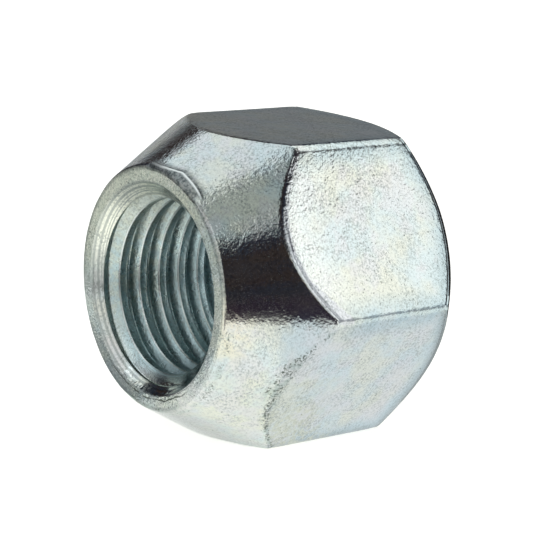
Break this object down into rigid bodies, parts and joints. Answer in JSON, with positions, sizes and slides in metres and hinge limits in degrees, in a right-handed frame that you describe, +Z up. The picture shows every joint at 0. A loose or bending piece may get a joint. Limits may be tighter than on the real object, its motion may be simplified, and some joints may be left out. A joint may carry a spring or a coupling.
{
  "type": "open-end lug nut",
  "caption": "Open-end wheel lug nut: a hexagon with a conical seat and a countersunk through thread, zinc-plated steel.",
  "frame": {"origin": "on the thread's axis, halfway between the rear face and the rim of the conical end", "axes": "Y along the thread's axis with the conical end at -Y and the flat rear face at +Y, +Z up out of a flat of the hexagon with the nut lying on the opposite flat, X across two corners"},
  "size_m": [0.0216, 0.0162, 0.019],
  "materials": {
    "zinc_plate": "satin bright zinc plate over cold-forged steel, lightly speckled"
  },
  "bodies": {
    "root": {"lug_nut": "zinc_plate"}
  },
  "joints": []
}
